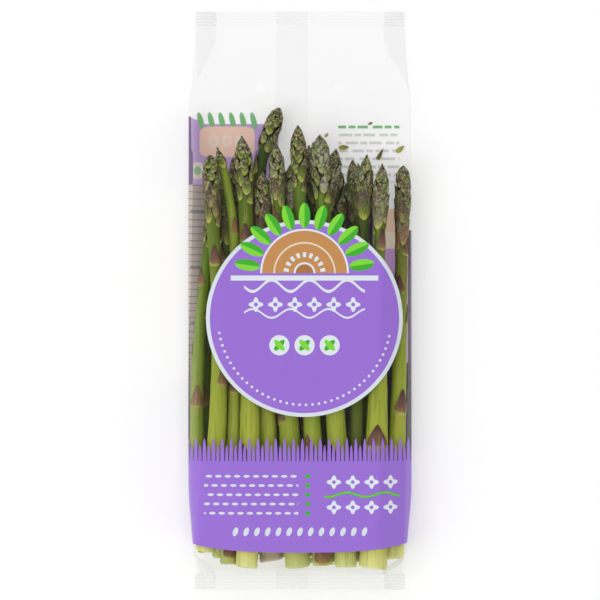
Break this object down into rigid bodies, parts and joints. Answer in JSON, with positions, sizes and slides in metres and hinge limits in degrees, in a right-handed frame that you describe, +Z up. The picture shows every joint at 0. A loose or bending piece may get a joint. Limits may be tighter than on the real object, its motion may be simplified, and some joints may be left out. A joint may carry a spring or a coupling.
{
  "type": "bagged asparagus bundle",
  "caption": "Bundle of green asparagus spears lying loose in a clear printed film bag with sealed ends and side gussets.",
  "frame": {"origin": "on the surface that the bag lies on, under the middle of its length and width", "axes": "+X across the bag, +Y from the cut ends to the tips, +Z up from the back film to the front film"},
  "size_m": [0.135, 0.348, 0.0425],
  "materials": {
    "film": "clear glossy film, printed in places",
    "asparagus": "fresh stems: waxy, smooth, yellow-green at the cut ends and dark at the tips",
    "loose_scale": "dull dry scale leaf"
  },
  "bodies": {
    "root": {"bag": "film", "spear_01": "asparagus", "spear_02": "asparagus", "spear_03": "asparagus", "spear_04": "asparagus", "spear_05": "asparagus", "spear_06": "asparagus", "spear_07": "asparagus", "spear_08": "asparagus", "spear_09": "asparagus", "spear_10": "asparagus", "spear_11": "asparagus", "spear_12": "asparagus", "spear_13": "asparagus", "spear_14": "asparagus", "spear_15": "asparagus", "spear_16": "asparagus", "spear_17": "asparagus", "spear_18": "asparagus", "spear_19": "asparagus", "spear_20": "asparagus", "spear_21": "asparagus", "spear_22": "asparagus", "spear_23": "asparagus", "spear_24": "asparagus", "loose_scale_1": "loose_scale", "loose_scale_2": "loose_scale", "loose_scale_3": "loose_scale", "loose_scale_4": "loose_scale", "loose_scale_5": "loose_scale"}
  },
  "joints": []
}
